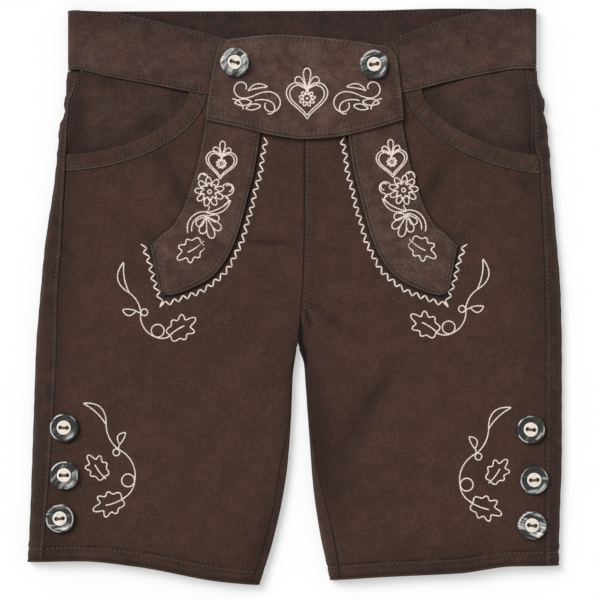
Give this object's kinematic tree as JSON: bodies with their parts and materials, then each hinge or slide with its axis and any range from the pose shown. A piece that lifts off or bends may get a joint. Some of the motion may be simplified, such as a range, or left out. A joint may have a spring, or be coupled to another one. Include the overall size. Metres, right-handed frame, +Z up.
{
  "type": "child's knee-length lederhosen-style shorts",
  "caption": "Child's knee-length shorts in the lederhosen style, laid flat, with a buttoned drop-front flap, shaped hanging tabs, curved hip pockets and horn-look buttons at the side hems.",
  "frame": {"origin": "centre of the outline, on the surface that the shorts lie on", "axes": "+X towards the wearer's left, +Y from the hems to the waist, +Z up out of the front"},
  "size_m": [0.3203, 0.3462, 0.016],
  "materials": {
    "leg_cloth": "matt brushed cotton twill, dark brown",
    "band_cloth": "matt cotton twill, dark brown",
    "trim_cloth": "matt cotton twill, dark brown, topstitched",
    "horn": "glossy streaked dark grey horn look",
    "pale_centre": "satin cream"
  },
  "bodies": {
    "root": {"back_leg_right": "leg_cloth", "back_leg_left": "leg_cloth", "front_leg_right": "leg_cloth", "front_leg_left": "leg_cloth", "back_waistband": "band_cloth", "front_waistband_right": "band_cloth", "front_waistband_left": "band_cloth", "pocket_facing_right": "leg_cloth", "pocket_facing_left": "leg_cloth", "pocket_binding_right": "trim_cloth", "pocket_binding_left": "trim_cloth", "front_flap": "trim_cloth", "flap_tab_right": "trim_cloth", "flap_tab_left": "trim_cloth", "flap_button_right": "horn", "flap_button_right_centre": "pale_centre", "flap_button_left": "horn", "flap_button_left_centre": "pale_centre", "hem_button_right_1": "horn", "hem_button_right_1_centre": "pale_centre", "hem_button_right_2": "horn", "hem_button_right_2_centre": "pale_centre", "hem_button_right_3": "horn", "hem_button_right_3_centre": "pale_centre", "hem_button_left_1": "horn", "hem_button_left_1_centre": "pale_centre", "hem_button_left_2": "horn", "hem_button_left_2_centre": "pale_centre", "hem_button_left_3": "horn", "hem_button_left_3_centre": "pale_centre"}
  },
  "joints": []
}
